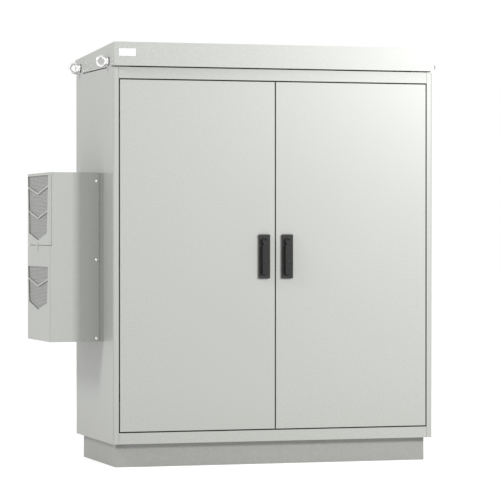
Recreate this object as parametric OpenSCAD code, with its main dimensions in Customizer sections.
// Outdoor battery cabinet: two bays of battery strings behind two doors with swing handles,
// a sloped rain roof with lifting eyes, an inset plinth, and a cooler on the left side wall.
// Origin: centre of the plinth's underside. +Z up, the doors face -Y, the cooler hangs on the -X side.

/* [Cabinet] */
// Width over the side panels
body_w = 1280; // [1240:10:1500]
// Depth of the body, without the roof's overhang
body_d = 600; // [560:10:760]
// Height of the body between plinth and roof
body_h = 1422; // [1400:2:1700]
// Thickness of the folded sheet steel
sheet = 2; // [1.5:0.5:3]
// Outside bend radius of the body's front corners
bend_r = 6; // [4:1:8]

/* [Plinth] */
// Height of the plinth
plinth_h = 90; // [80:5:200]
// Setback of the plinth's front and back behind the body
plinth_setback = 40; // [20:5:60]
// Setback of the plinth's sides
plinth_side_setback = 20; // [0:5:40]
// Width of the plinth's inward flanges
plinth_flange = 45; // [40:1:60]
// Radius of the anchor holes in the bottom flange
anchor_r = 7; // [5:0.5:9]
// Distance of the anchor holes from the plinth's side walls
anchor_inset = 60; // [50:5:100]

/* [Front frame] */
// Visible width of the corner posts
post_w = 22; // [18:1:30]
// Visible height of the bottom rail
sill_h = 42; // [36:1:60]
// Visible height of the top rail
lintel_h = 43; // [36:1:60]
// Gap round and between the doors
door_gap = 5; // [4:0.5:7]
// Half width of the centre post
centre_post_half = 29; // [26:1:29]

/* [Doors] */
// Depth of the door pan
door_t = 25; // [22:1:30]
// Height of the foam gasket
gasket_t = 8; // [6:1:10]
// Width of the foam gasket
gasket_w = 10; // [8:1:12]
// Number of hinges per door
hinge_count = 3; // [2:1:4]

/* [Swing handle] */
// Distance of the handle's centre line from the cabinet's centre line
handle_x = 46; // [46:1:52]
// Width of the handle tray
tray_w = 44; // [40:1:48]
// Height of the handle tray
tray_h = 169; // [160:1:190]
// Height of the handle tray's lower edge above the floor
tray_z = 712; // [650:1:800]
// Thickness of the tray
tray_t = 9; // [7:0.5:10]
// Total projection of the handle in front of the door
handle_t = 22; // [21:1:26]
// Width of the lever
lever_w = 24; // [22:1:28]

/* [Rod lock] */
// Teeth on the pinion
pinion_teeth = 12; // [12:1:14]
// Module of the pinion and the racks
gear_module = 1.25; // [1.25:0.25:1.25]
// Depth of the flat lock rods
rod_d = 10; // [8:1:12]

/* [Roof] */
// Height of the roof's front face
roof_front_h = 91; // [80:1:120]
// Height of the roof's back face
roof_back_h = 59; // [50:1:75]
// Overhang at front and back
roof_overhang = 20; // [10:1:40]
// Shadow gap between body and roof
roof_gap = 2; // [1:0.5:4]

/* [Lifting eyes] */
// Outer diameter of the ring
eye_d = 45; // [36:1:54]
// Diameter of the ring's section
eye_section = 10; // [8:1:12]
// Distance of the eyes from the body's front and back
eye_inset = 70; // [60:1:100]
// Height of the eyes above the roof's lower edge
eye_rise = 22; // [22:1:30]

/* [Cooler] */
// Height of the cooler
cooler_h = 645; // [645:5:760]
// Width of the cooler along the side wall
cooler_w = 396; // [360:2:440]
// Projection of the cooler from the side wall
cooler_d = 210; // [206:1:240]
// Distance of the cooler behind the body's front
cooler_back = 148; // [120:1:170]
// Height of the cooler's underside above the floor
cooler_z = 472; // [460:2:520]
// Height of the filter door
filter_door_h = 277; // [270:1:290]
// Corner radius of the cooler's cover
cooler_r = 6; // [4:1:8]
// Radius of the condenser fan
fan_r = 96; // [80:1:96]

/* [Batteries] */
// Width of one battery block
block_w = 106; // [98:1:106]
// Depth of one battery block
block_d = 390; // [330:5:390]
// Height of one battery block
block_h = 285; // [240:5:300]
// Height of the lowest shelf above the floor
shelf_z = 175; // [170:5:200]
// Distance from one shelf to the next
shelf_pitch = 420; // [400:5:440]
// Thickness of the insulation boards
insulation_t = 18; // [12:1:22]
// Radius of the cable glands' bores
gland_r = 9; // [6:0.5:10]

/* [Hidden] */
$fn = 48;

paint = [0.80, 0.81, 0.78];
plinth_paint = [0.68, 0.70, 0.67];
zinc = [0.72, 0.74, 0.76];
chrome = [0.85, 0.86, 0.88];
black_plastic = [0.11, 0.11, 0.12];
foam = [0.16, 0.16, 0.17];
rubber = [0.08, 0.08, 0.08];
copper = [0.80, 0.48, 0.30];
aluminium = [0.78, 0.79, 0.80];
battery_grey = [0.30, 0.32, 0.35];
filter_white = [0.86, 0.87, 0.84];
cable_red = [0.66, 0.08, 0.06];
cable_black = [0.06, 0.06, 0.06];

// The body's faces
front = -body_d / 2;
back = body_d / 2;
left = -body_w / 2;
body_z = plinth_h;
top_z = plinth_h + body_h;
inner_left = left + sheet;

// The door opening and the ledge that the gaskets press on
open_left = left + post_w;
open_bottom = body_z + sill_h;
open_top = top_z - lintel_h;
seam = 0.6;
gasket_play = 0.3;
ledge_y = front + door_t + gasket_t + gasket_play;
ledge_back = ledge_y + sheet;
hinge_gasket_offset = 19;
gasket_offset = 15;
ledge_margin = 2;
ledge_side_w = door_gap + hinge_gasket_offset + gasket_w + ledge_margin;
ledge_end_w = door_gap + gasket_offset + gasket_w + ledge_margin;

// The left door's edges; the right door is its mirror image
door_left = open_left + door_gap;
door_right = -door_gap / 2;
door_bottom = open_bottom + door_gap;
door_top = open_top - door_gap;
lip_side_w = hinge_gasket_offset + gasket_w + 5;
lip_end_w = gasket_offset + gasket_w + 3;
skin_back = front + sheet;
pan_back = front + door_t;

// Hinges: the pin stands inside the door pan, just behind its skin
pin_r = 2.5;
pin_play = 0.05;
knuckle_r = 4.5;
pin_x = door_left + 10;
pin_y = front + 7;
hinge_h = 54;
hinge_notch = 34;
frame_knuckle_h = 24;
hinge_from_end = 150;
hinge_step = (door_top - door_bottom - 2 * hinge_from_end) / (hinge_count - 1);
hinge_zs = [for (i = [0 : hinge_count - 1]) door_bottom + hinge_from_end + i * hinge_step];

// Swing handle
hub_r = lever_w / 2;
block_end_h = 12.5;
block_end_t = tray_t + 1;
tray_front = front - tray_t;
handle_front = front - handle_t;
tray_top = tray_z + tray_h;
pivot_z = tray_top - block_end_h - hub_r - 1;
hub_recess = 4;
hub_play = 0.3;
lever_back = tray_front - 0.6;
lever_end_z = tray_z + block_end_h + 2;
knuckle_y = handle_front + 6.5;
lever_knuckle_r = 6.2;
lever_neck_w = 12;
ear_slot_w = lever_neck_w + 0.6;
grip_h = 36;
grip_depth = 6;
cylinder_r = 6;
cylinder_z = tray_z + 65;
spindle_r = 5;

// Rod lock behind the door
pitch_r = pinion_teeth * gear_module / 2;
rack_addendum = 0.68 * gear_module;
rack_root = pitch_r + 1.15 * gear_module;
tooth_pitch = PI * gear_module;
backlash = 0.3;
rod_w = 4.1;
rod_y = ledge_back + 3;
rod_back = rod_y + rod_d;
rod_inner = rack_root;
rod_outer = rack_root + rod_w;
rod_travel = pitch_r * PI / 2;
rod_stop_gap = 2;
gearbox_half_h = 30;
gearbox_wall = 2;
guide_play = 0.4;

// Roof
roof_z = top_z + roof_gap;
roof_front = front - roof_overhang;
roof_back = back + roof_overhang;
roof_slope_drop = roof_front_h - roof_back_h;
roof_lip = 14;

// Lifting eyes
eye_z = roof_z + eye_rise;
eye_y = body_d / 2 - eye_inset;
eye_washer_t = 3;
eye_collar_h = 4;
eye_shank_r = 5;
eye_ring_x = eye_washer_t + 2.5 + eye_d / 2;
bracket_t = 6;

// Racks, shelves and batteries
bay_x = body_w / 4 - 10;
rack_half = 225;
rail_flange = 37;
rail_depth = 40;
rail_front = front + 75;
rail_back = back - 115;
rail_top = top_z - sheet - insulation_t;
shelf_half = rack_half - 2;
ear_half = 241;
unit_h = 44.45;
shelf_lip_h = unit_h - 0.8;
shelf_levels = [0, 1, 2];
blocks_per_string = 4;
block_step = (2 * shelf_half - 2 * sheet - 6 - block_w) / (blocks_per_string - 1);
block_front = rail_front + 11;
terminal_notch_d = 30;
terminal_notch_h = 45;
terminal_x = block_w * 0.28;
terminal_r = 6;
link_t = 3;
panel_units = 4;
panel_h = panel_units * unit_h - 0.8;
panel_z = shelf_z + 2 * shelf_pitch + 275;
switch_z = panel_z + panel_h / 2;
switch_x = -bay_x + 150;

// Cooler, measured outward from the side wall (u), along it (y) and up (z)
cooler_y0 = front + cooler_back;
cooler_y1 = cooler_y0 + cooler_w;
cooler_yc = (cooler_y0 + cooler_y1) / 2;
cooler_top = cooler_z + cooler_h;
filter_door_z = cooler_top - filter_door_h;
cover_gap = 18;
door_pan_d = 11.5;
filter_pin_in = 6;
filter_pin_r = 1.5;
filter_lug_r = 3.2;
filter_lug_w = 8;
filter_lug_in = 20;
filter_rod_u = cooler_d - filter_pin_in;
filter_rod_z = cooler_top - filter_pin_in;
partition_u = 92;
fan_z = cooler_z + 200;
fan_u = 150;
blower_z = cooler_z + 490;
blower_r = 84;
supply_z0 = cooler_z + 105;
supply_z1 = cooler_z + 265;
supply_half = 140;
chassis_d = 60;
cooler_screw_u = 28;
cooler_screw_zs = [cooler_z + 13, cooler_z + 0.485 * cooler_h, cooler_z + cooler_h - 33];
motor_r = 28;
shaft_r = 4;

// Cable glands in the gland plate
gland_xs = [-150, -50, 50, 150];
gland_y = 60;
gland_plate_t = 3;
gland_hex_r = 21;
gland_thread_r = 16;

// A box between two corners
module box(x0, x1, y0, y1, z0, z1)
    translate([x0, y0, z0]) cube([x1 - x0, y1 - y0, z1 - z0]);

// Draws its children as they are, and again mirrored about the cabinet's centre plane
module both_sides() {
    children();
    mirror([1, 0, 0]) children();
}

// Round bar along X from x0 to x1
module bar_x(x0, x1, y, z, r) translate([x0, y, z]) rotate([0, 90, 0]) cylinder(r = r, h = x1 - x0);

// Round bar along Y from y0 to y1
module bar_y(x, y0, y1, z, r) translate([x, y0, z]) rotate([-90, 0, 0]) cylinder(r = r, h = y1 - y0);

// Round bar along Z from z0 to z1
module bar_z(x, y, z0, z1, r) translate([x, y, z0]) cylinder(r = r, h = z1 - z0);

// ---------------------------------------------------------------- plinth and floor

module plinth() color(plinth_paint) {
    px = body_w / 2 - plinth_side_setback;
    py = body_d / 2 - plinth_setback;
    t = sheet + 0.5;
    difference() {
        box(-px, px, -py, py, 0, plinth_h);
        box(-px + t, px - t, -py + t, py - t, t, plinth_h - t);
        box(-px + plinth_flange, px - plinth_flange, -py + plinth_flange, py - plinth_flange,
            -1, plinth_h + 1);
        for (x = [-1, 1], y = [-1, 1])
            bar_z(x * (px - anchor_inset), y * (py - plinth_flange / 2), -1, t + 1, anchor_r);
    }
}

// Sheet between the side panels, notched round their corner posts and ledges
module deck(z) difference() {
    box(inner_left, -inner_left, skin_back, back - 2 * sheet, z, z + sheet);
    both_sides() box(inner_left - 1, open_left + ledge_side_w + 0.5, front, ledge_back + 0.2, z - 1, z + sheet + 1);
}

module floor_plate() color(zinc) difference() {
    deck(body_z);
    box(-200, 200, gland_y - 60, gland_y + 60, body_z - 1, body_z + sheet + 1);
}

module gland_plate() color(zinc) difference() {
    box(-220, 220, gland_y - 80, gland_y + 80, body_z + sheet, body_z + sheet + gland_plate_t);
    for (x = gland_xs) bar_z(x, gland_y, body_z, body_z + 20, gland_thread_r + 0.3);
}

module cable_gland() {
    plate_z = body_z + sheet;
    difference() {
        union() {
            bar_z(0, 0, plate_z - 8, plate_z + gland_plate_t + 12, gland_thread_r);
            translate([0, 0, plate_z - 8]) cylinder(r = gland_hex_r, h = 8, $fn = 6);
            translate([0, 0, plate_z + gland_plate_t]) cylinder(r = gland_hex_r, h = 6, $fn = 6);
            bar_z(0, 0, plate_z - 26, plate_z - 8, gland_thread_r + 2);
        }
        bar_z(0, 0, plate_z - 27, plate_z + gland_plate_t + 13, gland_r);
    }
}

module cable_glands() color(black_plastic)
    for (x = gland_xs) translate([x, gland_y, 0]) cable_gland();

// ---------------------------------------------------------------- body panels

// Plan section of a side panel: wall, rounded front corner, post face, return and gasket ledge
module side_panel_section() {
    translate([left, front + bend_r]) square([sheet, body_d - bend_r]);
    translate([left + bend_r, front]) square([post_w - bend_r, sheet]);
    intersection() {
        translate([left + bend_r, front + bend_r]) difference() {
            circle(r = bend_r);
            circle(r = bend_r - sheet);
        }
        translate([left, front]) square(bend_r);
    }
    translate([open_left - sheet, front]) square([sheet, ledge_back - front]);
    translate([open_left - sheet, ledge_y]) square([ledge_side_w + sheet, sheet]);
    translate([left, back - 2 * sheet]) square([40, sheet]);
}

module side_panel() translate([0, 0, body_z]) linear_extrude(body_h) side_panel_section();

// Air openings towards the cooler, cut through the wall and whatever lines it
module cooler_air_cuts(x0, x1) {
    bar_x(x0, x1, cooler_yc, blower_z, blower_r - 8);
    box(x0, x1, cooler_yc - supply_half, cooler_yc + supply_half, supply_z0, supply_z1);
}

module left_side_panel() color(paint) difference() {
    side_panel();
    cooler_air_cuts(left - 1, left + sheet + 1);
}

module right_side_panel() color(paint) mirror([1, 0, 0]) side_panel();

module rear_panel() color(paint)
    box(inner_left + 0.5, -inner_left - 0.5, back - sheet, back, body_z + 4, top_z - 2);

module top_plate() color(zinc) deck(top_z - sheet);

module top_rail() color(paint) {
    x = -open_left - seam;
    box(-x, x, front, skin_back, open_top, top_z);
    box(-x, x, front, ledge_y, open_top, open_top + sheet);
    box(open_left + ledge_side_w, -open_left - ledge_side_w, ledge_y, ledge_back,
        open_top - ledge_end_w, open_top + sheet);
}

module bottom_rail() color(paint) {
    x = -open_left - seam;
    box(-x, x, front, skin_back, body_z, open_bottom);
    box(-x, x, front, ledge_y, open_bottom - sheet, open_bottom);
    box(open_left + ledge_side_w, -open_left - ledge_side_w, ledge_y, ledge_back,
        open_bottom - sheet, open_bottom + ledge_end_w);
}

// A channel behind the two ledges, with a strip on its face that fills the space between them
module centre_post() color(paint) {
    h = centre_post_half;
    z0 = body_z + sheet;
    z1 = top_z - sheet - insulation_t;
    depth = 28;
    box(-h, h, ledge_back, ledge_back + sheet, z0, z1);
    both_sides() box(h - sheet, h, ledge_back, ledge_back + depth, z0, z1);
    box(-h, h, ledge_y, ledge_back, open_bottom + ledge_end_w, open_top - ledge_end_w);
}

module wall_insulation() color(foam) {
    z0 = body_z + sheet;
    z1 = top_z - sheet;
    t = insulation_t;
    y0 = ledge_back + 3;
    y1 = back - 2 * sheet;
    difference() {
        box(inner_left, inner_left + t, y0, y1, z0, z1);
        cooler_air_cuts(inner_left - 1, inner_left + t + 1);
    }
    box(-inner_left - t, -inner_left, y0, y1, z0, z1);
    box(inner_left + t, -inner_left - t, y1 - t, y1, z0, z1);
    box(inner_left + t, -inner_left - t, y0, y1 - t, z1 - t, z1);
}

// ---------------------------------------------------------------- roof and lifting eyes

// Side outline of the roof, taken in by t all round; the underside stays open
module roof_outline(t) {
    length = roof_back - roof_front;
    slope = roof_slope_drop / length;
    polygon([
        [roof_front + t, roof_z - (t > 0 ? 1 : 0)],
        [roof_back - t, roof_z - (t > 0 ? 1 : 0)],
        [roof_back - t, roof_z + roof_back_h - t + slope * t],
        [roof_front + t, roof_z + roof_front_h - t - slope * t],
    ]);
}

// Stands the YZ outline up and runs it along X
module along_x(x0, x1) translate([x0, 0, 0]) rotate([90, 0, 90]) linear_extrude(x1 - x0) children();

module roof_cover() color(paint) {
    difference() {
        along_x(left, -left) roof_outline(0);
        along_x(left + sheet, -left - sheet) roof_outline(sheet);
        both_sides() for (y = [-eye_y, eye_y])
            bar_x(left - 1, left + sheet + 1, y, eye_z, eye_shank_r + 0.5);
    }
    box(left + sheet, -left - sheet, roof_front + sheet, roof_front + sheet + roof_lip,
        roof_z, roof_z + sheet);
    box(left + sheet, -left - sheet, roof_back - sheet - roof_lip, roof_back - sheet,
        roof_z, roof_z + sheet);
}

// Angle on the top plate that carries the lifting load of one corner
module roof_bracket() difference() {
    union() {
        box(left + sheet, left + sheet + bracket_t, -35, 35, top_z, top_z + 46);
        box(left + sheet, left + 70, -35, 35, top_z, top_z + bracket_t);
    }
    bar_x(left, left + 20, 0, eye_z, eye_shank_r + 0.5);
}

module roof_brackets() color(zinc)
    both_sides() for (y = [-eye_y, eye_y]) translate([0, y, 0]) roof_bracket();

// Ring, collar, washer, shank and nut of one eye bolt, standing out of the left wall
module lifting_eye() {
    ring = (eye_d - eye_section) / 2;
    inner = sheet + bracket_t;
    translate([left - eye_ring_x, 0, eye_z]) rotate([90, 0, 0])
        rotate_extrude() translate([ring, 0]) circle(r = eye_section / 2);
    bar_x(left - eye_washer_t - eye_collar_h, left - eye_washer_t, 0, eye_z, 12);
    bar_x(left - eye_washer_t, left + inner + 12, 0, eye_z, eye_shank_r);
}

module lifting_washer() {
    inner = sheet + bracket_t;
    difference() {
        bar_x(left - eye_washer_t, left, 0, eye_z, 13);
        bar_x(left - eye_washer_t - 1, left + 1, 0, eye_z, eye_shank_r);
    }
    difference() {
        translate([left + inner, 0, eye_z]) rotate([0, 90, 0]) cylinder(r = 9.5, h = 8, $fn = 6);
        bar_x(left + inner - 1, left + inner + 9, 0, eye_z, eye_shank_r);
    }
}

module lifting_eyes() color(chrome)
    both_sides() for (y = [-eye_y, eye_y]) translate([0, y, 0]) {
        lifting_eye();
        lifting_washer();
    }

// ---------------------------------------------------------------- hinges and keepers

// Frame half of one hinge: an arm from the ledge to a knuckle, with the pin in it
module frame_hinge() {
    arm_x = pin_x + 1.4;
    h = frame_knuckle_h / 2;
    difference() {
        union() {
            bar_z(pin_x, pin_y, -h, h, knuckle_r);
            box(arm_x, pin_x + knuckle_r, pin_y, ledge_y, -h, h);
            box(arm_x - 6, pin_x + knuckle_r, ledge_y - sheet, ledge_y, -h, h);
        }
        bar_z(pin_x, pin_y, -h - 1, h + 1, pin_r);
    }
    bar_z(pin_x, pin_y, -hinge_h / 2, hinge_h / 2, pin_r);
}

module frame_hinges() color(zinc)
    both_sides() for (z = hinge_zs) translate([0, 0, z]) frame_hinge();

// Wear plates behind the ledges, where the lock rods' rollers run up
module rod_keepers() color(zinc) both_sides() {
    x0 = -handle_x - 18;
    box(x0, -centre_post_half - 2, ledge_back, ledge_back + 2, open_top - ledge_end_w + 2, open_top - 2);
    box(x0, -centre_post_half - 2, ledge_back, ledge_back + 2, open_bottom + 2, open_bottom + ledge_end_w - 2);
}

// ---------------------------------------------------------------- doors

module door_pan() {
    x0 = door_left;
    x1 = door_right;
    difference() {
        box(x0, x1, front, pan_back, door_bottom, door_top);
        box(x0 + sheet, x1 - sheet, skin_back, pan_back - sheet, door_bottom + sheet, door_top - sheet);
        box(x0 + lip_side_w, x1 - lip_end_w, pan_back - sheet - 1, pan_back + 1,
            door_bottom + lip_end_w, door_top - lip_end_w);
        for (z = hinge_zs)
            box(x0 - 1, x0 + 16.5, skin_back, pan_back + 1, z - hinge_notch, z + hinge_notch);
        bar_y(-handle_x, front - 1, skin_back + 1, pivot_z, spindle_r + 3);
    }
}

module door_gasket() {
    x0 = door_left + hinge_gasket_offset;
    x1 = door_right - gasket_offset;
    z0 = door_bottom + gasket_offset;
    z1 = door_top - gasket_offset;
    difference() {
        box(x0, x1, pan_back, pan_back + gasket_t, z0, z1);
        box(x0 + gasket_w, x1 - gasket_w, pan_back - 1, pan_back + gasket_t + 1, z0 + gasket_w, z1 - gasket_w);
    }
}

// Door half of one hinge: two knuckles on a leaf welded to the back of the skin
module door_hinge_leaf() {
    h0 = frame_knuckle_h / 2 + 0.5;
    difference() {
        union() {
            for (s = [-1, 1]) translate([0, 0, s > 0 ? h0 : -hinge_h / 2])
                bar_z(pin_x, pin_y, 0, hinge_h / 2 - h0, knuckle_r);
            box(pin_x, pin_x + 60, skin_back, skin_back + 3, -hinge_h / 2, hinge_h / 2);
        }
        bar_z(pin_x, pin_y, -hinge_h, hinge_h, pin_r + pin_play);
        bar_z(pin_x, pin_y, -h0, h0, knuckle_r + 0.6);
    }
}

stiffener_w = 20;
stiffener_x0 = door_left + 80;
stiffener_x1 = -handle_x - 32;
stiffener_z0 = door_bottom + 45;
stiffener_z1 = door_top - 45;
stiffener_back = ledge_y + 6;

// Channel on the back of the skin, open towards the skin
module stiffener(x0, x1, z0, z1) difference() {
    box(x0, x1, skin_back, stiffener_back, z0, z1);
    if (x1 - x0 > z1 - z0) box(x0 - 1, x1 + 1, skin_back - 1, stiffener_back - sheet, z0 + sheet, z1 - sheet);
    else box(x0 + sheet, x1 - sheet, skin_back - 1, stiffener_back - sheet, z0 - 1, z1 + 1);
}

// Two upright channels with a cross channel between them at each end
module door_stiffener() {
    w = stiffener_w;
    for (x = [stiffener_x0, stiffener_x1 - w]) stiffener(x, x + w, stiffener_z0, stiffener_z1);
    for (z = [stiffener_z0, stiffener_z1 - w])
        stiffener(stiffener_x0 + w + 0.2, stiffener_x1 - w - 0.2, z, z + w);
}

upper_rod_x0 = -handle_x + rod_inner;
upper_rod_x1 = -handle_x + rod_outer;
lower_rod_x0 = -handle_x - rod_outer;
lower_rod_x1 = -handle_x - rod_inner;
upper_guide_zs = [door_top - 110, pivot_z + 260];
lower_guide_zs = [door_bottom + 110, pivot_z - 320];

// Bracket on the back of the skin that a lock rod slides through
module rod_guide(x0, x1) difference() {
    box(x0 - 3, x1 + 3 < -centre_post_half - 2 ? x1 + 3 : -centre_post_half - 2.2,
        skin_back, rod_back + 3, -8, 8);
    box(x0 - guide_play, x1 + guide_play, rod_y - guide_play, rod_back + guide_play, -9, 9);
    box(x0 - 4, x1 + 4, skin_back + 3, rod_y - 3, -9, 9 - 3);
}

module door_frame() {
    door_stiffener();
    for (z = hinge_zs) translate([0, 0, z]) door_hinge_leaf();
    for (z = upper_guide_zs) translate([0, 0, z]) rod_guide(upper_rod_x0, upper_rod_x1);
    for (z = lower_guide_zs) translate([0, 0, z]) rod_guide(lower_rod_x0, lower_rod_x1);
}

// Foam board inside the stiffener
module door_liner()
    box(stiffener_x0 + stiffener_w, stiffener_x1 - stiffener_w, skin_back, skin_back + 20,
        stiffener_z0 + stiffener_w, stiffener_z1 - stiffener_w);

// ---------------------------------------------------------------- swing handle

module handle_tray() difference() {
    union() {
        box(-handle_x - tray_w / 2, -handle_x + tray_w / 2, tray_front, front, tray_z, tray_top);
        for (z = [tray_z, tray_top - block_end_h])
            box(-handle_x - tray_w / 2, -handle_x + tray_w / 2, front - block_end_t, front, z, z + block_end_h);
    }
    bar_y(-handle_x, tray_front - 1, tray_front + hub_recess, pivot_z, hub_r + hub_play);
    bar_y(-handle_x, tray_front, front + 1, pivot_z, spindle_r + hub_play);
}

function unit(v) = v / norm(v);
function involute(rb, t) = [rb * (cos(t) + t * PI / 180 * sin(t)), rb * (sin(t) - t * PI / 180 * cos(t))];
function roll_angle(rb, r) = sqrt(pow(r / rb, 2) - 1) * 180 / PI;
function turned(p, a) = [p[0] * cos(a) - p[1] * sin(a), p[0] * sin(a) + p[1] * cos(a)];

pressure_angle = 20;
base_r = pitch_r * cos(pressure_angle);
tip_r = pitch_r + gear_module;
root_r = pitch_r - 1.1 * gear_module;
flank_steps = 4;
flank_lag = roll_angle(base_r, pitch_r) - pressure_angle;
half_tooth = 90 / pinion_teeth - backlash / 4 / pitch_r * 180 / PI;
// One flank, from the base circle to the tip, at the side of a tooth that points along +X
upper_flank = [for (i = [0 : flank_steps])
    let (t = roll_angle(base_r, tip_r) * i / flank_steps)
    turned(involute(base_r, t), -half_tooth - flank_lag)];
lower_flank = [for (i = [flank_steps : -1 : 0]) [upper_flank[i][0], -upper_flank[i][1]]];
tooth_foot = root_r * unit(upper_flank[0]);
tooth_outline = concat([tooth_foot], upper_flank, lower_flank, [[tooth_foot[0], -tooth_foot[1]]]);

// Drive pinion, with a gap between teeth facing +X and -X so that it meshes with both racks
module pinion(h) linear_extrude(h) polygon([
    for (i = [0 : pinion_teeth - 1]) let (a = 180 / pinion_teeth + i * 360 / pinion_teeth)
        for (p = tooth_outline) turned(p, a)]);

module handle_hub() {
    difference() {
        union() {
            bar_y(-handle_x, tray_front - 1, tray_front + hub_recess - hub_play, pivot_z, hub_r);
            bar_y(-handle_x, handle_front, tray_front - 1, pivot_z, hub_r);
        }
        box(-handle_x - ear_slot_w / 2, -handle_x + ear_slot_w / 2, handle_front - 1,
            knuckle_y + lever_knuckle_r + hub_play, pivot_z - hub_r - 1, pivot_z + 7);
        bar_x(-handle_x - hub_r, -handle_x + hub_r, knuckle_y, pivot_z, pin_r);
    }
    bar_x(-handle_x - hub_r + 2, -handle_x + hub_r - 2, knuckle_y, pivot_z, pin_r);
    bar_y(-handle_x, tray_front + hub_recess - hub_play, rod_back, pivot_z, spindle_r);
    translate([-handle_x, rod_back - 0.5, pivot_z]) rotate([90, 0, 0]) pinion(rod_d - 1);
}

module handle_lever() difference() {
    r = 6;
    union() {
        box(-handle_x - lever_w / 2, -handle_x + lever_w / 2, handle_front, lever_back,
            lever_end_z + r, pivot_z - hub_r);
        box(-handle_x - lever_w / 2 + r, -handle_x + lever_w / 2 - r, handle_front, lever_back,
            lever_end_z, pivot_z - hub_r);
        for (s = [-1, 1])
            bar_y(-handle_x + s * (lever_w / 2 - r), handle_front, lever_back, lever_end_z + r, r);
        box(-handle_x - lever_neck_w / 2, -handle_x + lever_neck_w / 2,
            knuckle_y - lever_knuckle_r, knuckle_y + lever_knuckle_r, pivot_z - hub_r - 6, pivot_z);
        bar_x(-handle_x - lever_neck_w / 2, -handle_x + lever_neck_w / 2, knuckle_y, pivot_z, lever_knuckle_r);
    }
    for (s = [-1, 1]) difference() {
        bar_y(-handle_x, handle_front - 1, lever_back + 1, pivot_z, hub_r + 0.8);
        box(-handle_x - lever_neck_w / 2, -handle_x + lever_neck_w / 2, handle_front - 2, lever_back + 2,
            pivot_z - hub_r - 6, pivot_z + 20);
    }
    bar_x(-handle_x - lever_w, -handle_x + lever_w, knuckle_y, pivot_z, pin_r + pin_play);
    box(-handle_x - lever_w, -handle_x + lever_w, lever_back - grip_depth, lever_back + 1,
        lever_end_z - 1, lever_end_z + grip_h);
    bar_y(-handle_x, handle_front - 1, lever_back + 1, cylinder_z, cylinder_r + pin_play);
}

// Key barrel in the lever, with its key slot
module lock_cylinder() difference() {
    bar_y(-handle_x, handle_front - 0.6, lever_back, cylinder_z, cylinder_r);
    box(-handle_x - 0.8, -handle_x + 0.8, handle_front - 1, handle_front + 6, cylinder_z - 3.5, cylinder_z + 3.5);
}

// ---------------------------------------------------------------- rod lock

module gearbox() {
    w = gearbox_wall;
    x0 = -handle_x - rod_outer - 4;
    x1 = -handle_x + rod_outer + 0.5 + w < -centre_post_half - 3 ? -handle_x + rod_outer + 0.5 + w : -centre_post_half - 3;
    y0 = rod_y - 0.5 - w;
    y1 = rod_back + 0.5 + w;
    z0 = pivot_z - gearbox_half_h;
    z1 = pivot_z + gearbox_half_h;
    difference() {
        union() {
            box(x0, x1, y0, y1, z0, z1);
            bar_y(-handle_x, skin_back, y0, pivot_z, spindle_r + 5);
        }
        box(x0 + w, -handle_x + rod_outer + 0.4, y0 + w, y1 - w, z0 - 1, z1 + 1);
        bar_y(-handle_x, skin_back - 1, y0 + w + 1, pivot_z, spindle_r + pin_play);
    }
}

// Rack teeth on the side of a rod that faces the pinion at the origin, for rods at positive X
module rack_teeth(z0, z1) {
    half_pitch = tooth_pitch / 4 - backlash / 4;
    slant = tan(pressure_angle);
    tip = pitch_r - rack_addendum;
    n0 = ceil(z0 / tooth_pitch);
    n1 = floor(z1 / tooth_pitch);
    for (i = [n0 : n1]) translate([0, 0, i * tooth_pitch]) rotate([90, 0, 0])
        linear_extrude(rod_d) polygon([
            [rod_inner, -half_pitch - (rod_inner - pitch_r) * slant],
            [tip, -half_pitch + rack_addendum * slant],
            [tip, half_pitch - rack_addendum * slant],
            [rod_inner, half_pitch + (rod_inner - pitch_r) * slant],
            [rod_inner + 1, half_pitch + (rod_inner - pitch_r) * slant],
            [rod_inner + 1, -half_pitch - (rod_inner - pitch_r) * slant],
        ]);
}

roller_r = 5;

// Upper lock rod, meshing on the pinion's +X side; its end stops just short of the top ledge
module upper_rod() {
    end = open_top - ledge_end_w - rod_stop_gap;
    translate([-handle_x, rod_back, pivot_z]) rack_teeth(-7, 7 + rod_travel);
    box(upper_rod_x0, upper_rod_x1, rod_y, rod_back, pivot_z - 10, end - roller_r);
    bar_x(upper_rod_x0, upper_rod_x1, rod_y + rod_d / 2, end - roller_r, roller_r);
    bar_x(upper_rod_x0 - 5, upper_rod_x0, rod_y + rod_d / 2, end - roller_r, roller_r);
}

// Lower lock rod, on the pinion's -X side
module lower_rod() {
    end = open_bottom + ledge_end_w + rod_stop_gap;
    translate([-handle_x, rod_y, pivot_z]) rotate([0, 0, 180]) rack_teeth(-7 - rod_travel, 7);
    box(lower_rod_x0, lower_rod_x1, rod_y, rod_back, end + roller_r, pivot_z + 10);
    bar_x(lower_rod_x0, lower_rod_x1, rod_y + rod_d / 2, end + roller_r, roller_r);
    bar_x(lower_rod_x1, lower_rod_x1 + 5, rod_y + rod_d / 2, end + roller_r, roller_r);
}

// ---------------------------------------------------------------- racks and batteries

// One 19-inch upright: a flange to the front and a web to the back
module upright(x, side, y0) {
    box(side > 0 ? x : x - rail_flange, side > 0 ? x + rail_flange : x, y0, y0 + sheet, body_z + sheet, rail_top);
    box(side > 0 ? x : x - sheet, side > 0 ? x + sheet : x, y0, y0 + rail_depth, body_z + sheet, rail_top);
}

module rack_uprights() color(zinc)
    for (bay = [-bay_x, bay_x], side = [-1, 1]) {
        upright(bay + side * rack_half, side, rail_front);
        translate([0, rail_back, 0]) mirror([0, 1, 0]) upright(bay + side * rack_half, side, 0);
    }

module shelf(level) {
    z = shelf_z + level * shelf_pitch;
    y1 = rail_back - 5;
    box(-shelf_half, shelf_half, rail_front, y1, z, z + sheet);
    both_sides() box(-shelf_half, -shelf_half + sheet, rail_front, y1, z, z + 30);
    box(-ear_half, ear_half, rail_front - sheet, rail_front, z, z + shelf_lip_h);
}

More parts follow.
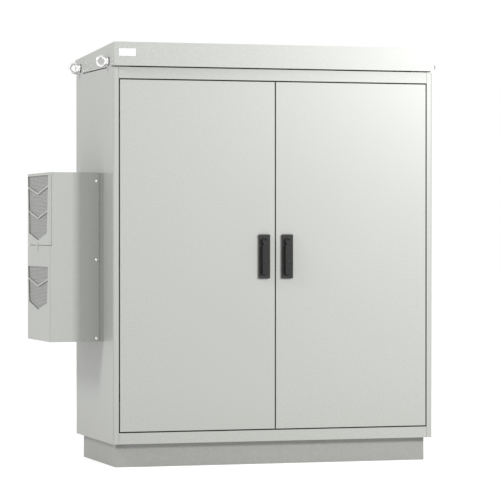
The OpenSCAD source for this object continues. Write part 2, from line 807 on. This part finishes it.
module battery_shelves() color(zinc)
    for (bay = [-bay_x, bay_x], level = shelf_levels) translate([bay, 0, 0]) shelf(level);

function block_centre(i) = (i - (blocks_per_string - 1) / 2) * block_step;
function block_base(level) = shelf_z + level * shelf_pitch + sheet;

// One front-terminal block: the case, a slightly wider lid, and a step at the front for the terminals
module battery_block() difference() {
    union() {
        box(-block_w / 2 + 1, block_w / 2 - 1, block_front + 1, block_front + block_d - 1, 0, block_h - 50);
        box(-block_w / 2, block_w / 2, block_front, block_front + block_d, block_h - 50, block_h);
    }
    box(-block_w, block_w, block_front - 1, block_front + terminal_notch_d, block_h - terminal_notch_h, block_h + 1);
}

module battery_string(level)
    for (i = [0 : blocks_per_string - 1])
        translate([block_centre(i), 0, block_base(level)]) battery_block();

module left_bay_batteries() color(battery_grey)
    for (level = [0, 1]) translate([-bay_x, 0, 0]) battery_string(level);

module right_bay_batteries() color(battery_grey)
    for (level = shelf_levels) translate([bay_x, 0, 0]) battery_string(level);

terminal_z = block_h - terminal_notch_h / 2;
terminal_y = block_front + terminal_notch_d;
post_len = 12;
strings = [[-1, 0], [-1, 1], [1, 0], [1, 1], [1, 2]];

// Terminal posts of a string and the bars that join its blocks in series
module string_links() {
    for (i = [0 : blocks_per_string - 1], s = [-1, 1])
        bar_y(block_centre(i) + s * terminal_x, terminal_y - post_len, terminal_y, terminal_z, terminal_r);
    for (i = [0 : blocks_per_string - 2]) {
        x0 = block_centre(i) + terminal_x;
        x1 = block_centre(i + 1) - terminal_x;
        y = terminal_y - post_len;
        box(x0 - 9, x1 + 9, y - link_t, y, terminal_z - 9, terminal_z + 9);
        for (x = [x0, x1]) translate([x, y - link_t, terminal_z]) rotate([90, 0, 0])
            cylinder(r = 7.5, h = 5, $fn = 6);
    }
}

module battery_links() color(copper)
    for (s = strings) translate([s[0] * bay_x, 0, block_base(s[1])]) string_links();

// Fused distribution unit on a 4-unit front plate
module dc_panel() color(paint) difference() {
    translate([-bay_x, 0, 0]) dc_panel_body();
    bar_y(switch_x, rail_front - 4, rail_front + 12, switch_z, shaft_r + pin_play);
}

module dc_panel_body() {
    box(-ear_half, ear_half, rail_front - 3, rail_front, panel_z, panel_z + panel_h);
    box(-shelf_half + 3, shelf_half - 3, rail_front, rail_front + 280, panel_z + 4, panel_z + panel_h - 4);
    for (i = [0 : 5])
        box(-180 + i * 36, -180 + i * 36 + 27, rail_front - 12, rail_front - 3,
            switch_z - 45, switch_z + 45);
}

// Rotary main switch: a knob on a shaft boss
module main_switch() color(cable_red) {
    y = rail_front - 3;
    bar_y(switch_x, y - 10, y - 0.3, switch_z, 24);
    bar_y(switch_x, y - 10, y + 12, switch_z, shaft_r);
    box(switch_x - 7, switch_x + 7, y - 22, y - 10, switch_z - 24, switch_z + 24);
}

duct_half = 38;
duct_y0 = rail_front + rail_depth + 5;
duct_y1 = duct_y0 + 60;

// Wiring duct between the bays, open at its top end
module cable_duct() color(paint) difference() {
    box(-duct_half, duct_half, duct_y0, duct_y1, body_z + sheet, rail_top - 60);
    box(-duct_half + 3, duct_half - 3, duct_y0 + 3, duct_y1 - 3, body_z + sheet + 3, rail_top);
}

// ---------------------------------------------------------------- battery cables

cable_r = 7;
cable_sides = 8;
function ring_points(p, t) =
    let (side = unit(cross(t, abs(t[2]) > 0.9 ? [0, 1, 0] : [0, 0, 1])), up = cross(side, t))
    [for (k = [0 : cable_sides - 1]) let (a = 360 * k / cable_sides)
        p + cable_r * (cos(a) * side + sin(a) * up)];
// A point on a rounded bend at corner b between a and c, cutting each leg at distance cut
function bend_points(a, b, c, cut) =
    let (p = b + unit(a - b) * cut, q = b + unit(c - b) * cut)
    [for (t = [0, 0.25, 0.5, 0.75, 1]) (1 - t) * (1 - t) * p + 2 * t * (1 - t) * b + t * t * q];
function route(points) = concat([points[0]],
    [for (i = [1 : len(points) - 2]) each bend_points(points[i - 1], points[i], points[i + 1], 22)],
    [points[len(points) - 1]]);

// A round cable along a route with rounded bends
module cable(points) {
    path = route(points);
    n = len(path);
    rings = [for (i = [0 : n - 1])
        ring_points(path[i], unit(path[min(i + 1, n - 1)] - path[max(i - 1, 0)]))];
    m = cable_sides;
    polyhedron(
        points = [for (r = rings) each r],
        faces = concat(
            [[for (k = [0 : m - 1]) k]],
            [for (i = [0 : n - 2], k = [0 : m - 1])
                [i * m + k, (i + 1) * m + k, (i + 1) * m + (k + 1) % m, i * m + (k + 1) % m]],
            [[for (k = [m - 1 : -1 : 0]) (n - 1) * m + k]]));
}

// A cable from an end terminal of a string up over the blocks and into the side of the duct
module string_cable(bay, level, end, height) {
    x = bay * bay_x + end * (block_centre(blocks_per_string - 1) + terminal_x);
    z = block_base(level) + terminal_z;
    y = terminal_y - post_len - cable_r - 0.2;
    top = block_base(level) + block_h + height;
    duct_y = (duct_y0 + duct_y1) / 2 + (end > 0 ? 14 : -14);
    cable([[x, y, z], [x, y, top], [x, duct_y, top], [bay * duct_half, duct_y, top]]);
}

module positive_cables() color(cable_red) {
    for (s = strings) string_cable(s[0], s[1], 1, 30);
    panel_feed(1);
}

module negative_cables() color(cable_black) {
    for (s = strings) string_cable(s[0], s[1], -1, 60);
    panel_feed(-1);
}

// A cable out of the duct's open top to the rear of the distribution unit
module panel_feed(side) {
    y = (duct_y0 + duct_y1) / 2 + side * 14;
    z = rail_top - 60;
    x = -bay_x + shelf_half - 3;
    up = rail_top - 32;
    drop = panel_z + panel_h - 4;
    back_y = rail_front + 150 + side * 40;
    cable([[side * 14, y, z], [side * 14, y, up], [side * 14, back_y, up],
        [x - 60, back_y, up], [x - 60, back_y, drop]]);
}

// ---------------------------------------------------------------- cooler

// Plan outline of the cooler's cover from the wall outward, taken in by t, with rounded outer corners
module cooler_outline(t) {
    r = cooler_r - t;
    y0 = cooler_y0 + t;
    y1 = cooler_y1 - t;
    x = left - cooler_d + t;
    translate([x + r, y0]) square([cooler_d - t - r, y1 - y0]);
    translate([x, y0 + r]) square([r, y1 - y0 - 2 * r]);
    for (y = [y0 + r, y1 - r]) translate([x + r, y]) circle(r = r);
}

// Everything between two distances from the side wall, over the cooler's full width and height
module cooler_slab(u0, u1, z0 = cooler_z - 1, z1 = cooler_top + 1)
    box(left - u1, left - u0, cooler_y0 - 1, cooler_y1 + 1, z0, z1);

vent_yc = cooler_yc + 10;
vent_top_half = 179;
vent_bottom_half = 158;
chevron_drop = 28;
rib_w = 6;
slot_step = 9;
slot_h = 5;

// The band between two parallel chevrons, h high, with its point at height z
module chevron(z, h) {
    w = vent_top_half + 20;
    drop = chevron_drop * w / vent_top_half;
    polygon([[0, z], [w, z + drop], [w, z + drop + h], [0, z + h], [-w, z + drop + h], [-w, z + drop]]);
}

// A vent with a flat top and a pointed foot: rows of chevron slots, left out where the ribs run
module vent(top, foot, ribs) translate([left - cooler_d + 30, 0, 0]) rotate([90, 0, -90]) linear_extrude(60)
    translate([-vent_yc, 0]) intersection() {
        polygon([[-vent_top_half, top], [-vent_bottom_half, foot + chevron_drop], [0, foot],
            [vent_bottom_half, foot + chevron_drop], [vent_top_half, top]]);
        union() for (z = [foot : slot_step : top])
            if (min([for (r = ribs) abs(z + slot_h / 2 - r)]) > (slot_h + rib_w) / 2) chevron(z, slot_h);
    }

upper_vent_top = cooler_top - 10;
upper_vent_foot = filter_door_z + 18;
upper_ribs = [upper_vent_foot + 85, upper_vent_foot + 179];
lower_vent_top = filter_door_z - 83;
lower_vent_foot = filter_door_z - 249;
lower_ribs = [lower_vent_foot + 91];

module screw_holes(r, y0, y1) for (z = cooler_screw_zs) bar_y(left - cooler_screw_u, y0, y1, z, r);

// Tray against the wall with side flanges and the partition that parts the two air circuits
module cooler_chassis() color(paint) {
    y0 = cooler_y0 + sheet + 0.2;
    y1 = cooler_y1 - sheet - 0.2;
    z0 = cooler_z + sheet + 0.2;
    z1 = cooler_top - sheet - 0.2;
    difference() {
        box(left - chassis_d, left, y0, y1, z0, z1);
        box(left - chassis_d - 1, left - sheet, y0 + sheet, y1 - sheet, z0 + sheet, z1 - sheet);
        cooler_air_cuts(left - sheet - 1, left + 1);
        screw_holes(2.6, y0 - 1, y1 + 1);
    }
    box(left - partition_u - sheet, left - partition_u, y0 + sheet, y1 - sheet, z0 + sheet, z1 - sheet);
    for (y = [y0, y1 - sheet])
        box(left - partition_u - sheet, left - chassis_d, y, y + sheet, z0, z1);
    bar_x(left - partition_u, left - 79, cooler_yc, blower_z, motor_r);
    bar_x(left - 79, left - 70, cooler_yc, blower_z, shaft_r);
}

filter_lug_ys = [cooler_y0 + filter_lug_in, cooler_y1 - filter_lug_in - filter_lug_w];

// Lug under the cover's top that holds one end of the filter door's rod
module filter_lug(y) difference() {
    union() {
        bar_y(left - filter_rod_u, y, y + filter_lug_w, filter_rod_z, filter_lug_r);
        box(left - filter_rod_u, left - filter_rod_u + 20, y, y + filter_lug_w, filter_rod_z - 1.5, filter_rod_z + 1.5);
        box(left - filter_rod_u + 10, left - filter_rod_u + 20, y, y + filter_lug_w, filter_rod_z - 1.5,
            cooler_top - sheet);
    }
    bar_y(left - filter_rod_u, y - 1, y + filter_lug_w + 1, filter_rod_z, filter_pin_r + pin_play);
}

// Wrap-round cover with the lower vent; the filter door closes its upper front
module cooler_housing() color(paint) {
    for (y = filter_lug_ys) filter_lug(y);
    cooler_cover();
}

module cooler_cover() difference() {
    translate([0, 0, cooler_z]) linear_extrude(cooler_h) cooler_outline(0);
    translate([0, 0, cooler_z + sheet]) linear_extrude(cooler_h - 2 * sheet) cooler_outline(sheet);
    cooler_slab(-1, cover_gap);
    cooler_slab(cooler_d - door_pan_d - 1, cooler_d + 1, filter_door_z - 0.8);
    vent(lower_vent_top, lower_vent_foot, lower_ribs);
    screw_holes(2.8, cooler_y0 - 1, cooler_y1 + 1);
}

// Shallow pan with the upper vent, hung on a rod along its top edge
module filter_door() color(paint) {
    difference() {
        translate([0, 0, filter_door_z + 0.2]) linear_extrude(filter_door_h - 0.2) cooler_outline(0);
        translate([0, 0, filter_door_z + 0.2 + sheet]) linear_extrude(filter_door_h - 0.2 - 2 * sheet)
            cooler_outline(sheet);
        cooler_slab(-1, cooler_d - door_pan_d);
        cooler_slab(-1, filter_rod_u - 2, cooler_top - 10);
        vent(upper_vent_top, upper_vent_foot, upper_ribs);
        for (y = filter_lug_ys)
            box(left - filter_rod_u - 2, left, y - 1, y + filter_lug_w + 1, cooler_top - sheet - 1, cooler_top + 1);
    }
    bar_y(left - filter_rod_u, cooler_y0 + filter_lug_in - 2, cooler_y1 - filter_lug_in + 2, filter_rod_z,
        filter_pin_r);
    box(left - cooler_d + sheet, left - filter_rod_u, cooler_y0 + filter_lug_in + filter_lug_w + 2,
        cooler_y1 - filter_lug_in - filter_lug_w - 2, filter_rod_z - 1, filter_rod_z + 1);
}

module filter_mat() color(filter_white)
    box(left - 202, left - 196, cooler_y0 + 14, cooler_y1 - 14, filter_door_z + 6, cooler_top - 14);

// Finned block with a return bend sticking out at each end of every second tube
module coil(u0, u1, z0, z1, y0, y1) {
    box(left - u1, left - u0, y0, y1, z0, z1);
    for (z = [z0 + 15 : 25 : z1 - 15])
        bar_y(left - (u0 + u1) / 2, y0 - 8, y0, z, 4);
}

module condenser_coil() color(aluminium)
    coil(140, 190, filter_door_z + 12, cooler_top - 20, cooler_y0 + 22, cooler_y1 - 12);

module evaporator_coil() color(aluminium)
    coil(40, 84, supply_z0 - 5, supply_z1 + 5, cooler_y0 + 22, cooler_y1 - 12);

// Axial fan: hub and pitched blades, turning about X
module condenser_fan() color(black_plastic) translate([left - fan_u, cooler_yc, fan_z]) rotate([0, -90, 0]) {
    difference() {
        cylinder(r = 32, h = 26);
        translate([0, 0, -1]) cylinder(r = shaft_r + pin_play, h = 28);
    }
    for (i = [0 : 6]) rotate(i * 360 / 7) translate([30, 0, 13]) rotate([32, 0, 0])
        translate([0, -24, -1.2]) cube([fan_r - 36, 48, 2.4]);
}

// Plate with the fan's ring, and the motor on four arms behind the fan
module fan_shroud() color(black_plastic) {
    u0 = fan_u - 6;
    difference() {
        box(left - u0 - 40, left - u0, cooler_y0 + 12, cooler_y1 - 12, fan_z - fan_r - 8, fan_z + fan_r + 8);
        bar_x(left - u0 - 41, left - u0 + 1, cooler_yc, fan_z, fan_r + 2);
        difference() {
            box(left - u0 - 38, left - u0 + 1, cooler_y0 + 14, cooler_y1 - 14, fan_z - fan_r - 6, fan_z + fan_r + 6);
            bar_x(left - u0 - 41, left - u0 + 2, cooler_yc, fan_z, fan_r + 4);
        }
    }
    bar_x(left - u0 + 1, left - u0 + 35, cooler_yc, fan_z, motor_r);
    bar_x(left - u0 - 22, left - u0 + 1, cooler_yc, fan_z, shaft_r);
    for (a = [0 : 90 : 270]) translate([left - u0 + 1, cooler_yc, fan_z]) rotate([a, 0, 0])
        box(0, 3, -6, 6, motor_r - 2, fan_r + 4);
    for (a = [0 : 90 : 270]) translate([left - u0 - 1, cooler_yc, fan_z]) rotate([a, 0, 0])
        box(0, 3, -6, 6, fan_r + 2.2, fan_r + 3.8);
}

module compressor() color(black_plastic) {
    x = left - 150;
    y = cooler_y0 + 90;
    z = cooler_z + sheet;
    bar_z(x, y, z, z + 5, 46);
    bar_z(x, y, z + 5, z + 72, 40);
    translate([x, y, z + 72]) intersection() {
        sphere(r = 40);
        box(-50, 50, -50, 50, 0, 14);
    }
}

// Radial blower wheel of the inner air circuit
module evaporator_fan() color(black_plastic) translate([left - 24, cooler_yc, blower_z]) rotate([0, -90, 0]) {
    difference() {
        cylinder(r = blower_r, h = 52);
        translate([0, 0, -1]) cylinder(r = blower_r - 14, h = 48);
        cylinder(r = shaft_r + pin_play, h = 53);
    }
}

// Pan-head screws through the cover into the chassis flanges
module cooler_screws() color(chrome)
    for (z = cooler_screw_zs, end = [0, 1])
        translate([left - cooler_screw_u, end ? cooler_y1 : cooler_y0, z]) rotate([end ? -90 : 90, 0, 0]) {
            cylinder(r = 5.5, h = 2.5);
            translate([0, 0, -8]) cylinder(r = 2.5, h = 8);
        }

// ---------------------------------------------------------------- nodes

// The left-hand pieces of each door, which the right-hand ones mirror
module door_piece(name) {
    if (name == "door") color(paint) door_pan();
    if (name == "door_gasket") color(rubber) door_gasket();
    if (name == "door_frame") color(zinc) door_frame();
    if (name == "door_liner") color(foam) door_liner();
    if (name == "handle_tray") color(black_plastic) handle_tray();
    if (name == "gearbox") color(zinc) gearbox();
    if (name == "handle_hub") color(black_plastic) handle_hub();
    if (name == "handle_lever") color(black_plastic) handle_lever();
    if (name == "lock_cylinder") color(black_plastic) lock_cylinder();
    if (name == "upper_rod") color(zinc) upper_rod();
    if (name == "lower_rod") color(zinc) lower_rod();
}

door_pieces = ["door", "door_gasket", "door_frame", "door_liner", "handle_tray", "gearbox", "handle_hub",
    "handle_lever", "lock_cylinder", "upper_rod", "lower_rod"];

plinth();
floor_plate();
gland_plate();
cable_glands();
left_side_panel();
right_side_panel();
rear_panel();
top_plate();
top_rail();
bottom_rail();
centre_post();
roof_cover();
roof_brackets();
lifting_eyes();
frame_hinges();
rod_keepers();
wall_insulation();
rack_uprights();
battery_shelves();
left_bay_batteries();
right_bay_batteries();
battery_links();
dc_panel();
main_switch();
cable_duct();
positive_cables();
negative_cables();
cooler_chassis();
cooler_housing();
filter_door();
filter_mat();
condenser_coil();
condenser_fan();
fan_shroud();
compressor();
evaporator_coil();
evaporator_fan();
cooler_screws();
for (piece = door_pieces) {
    door_piece(piece);
    mirror([1, 0, 0]) door_piece(piece);
}
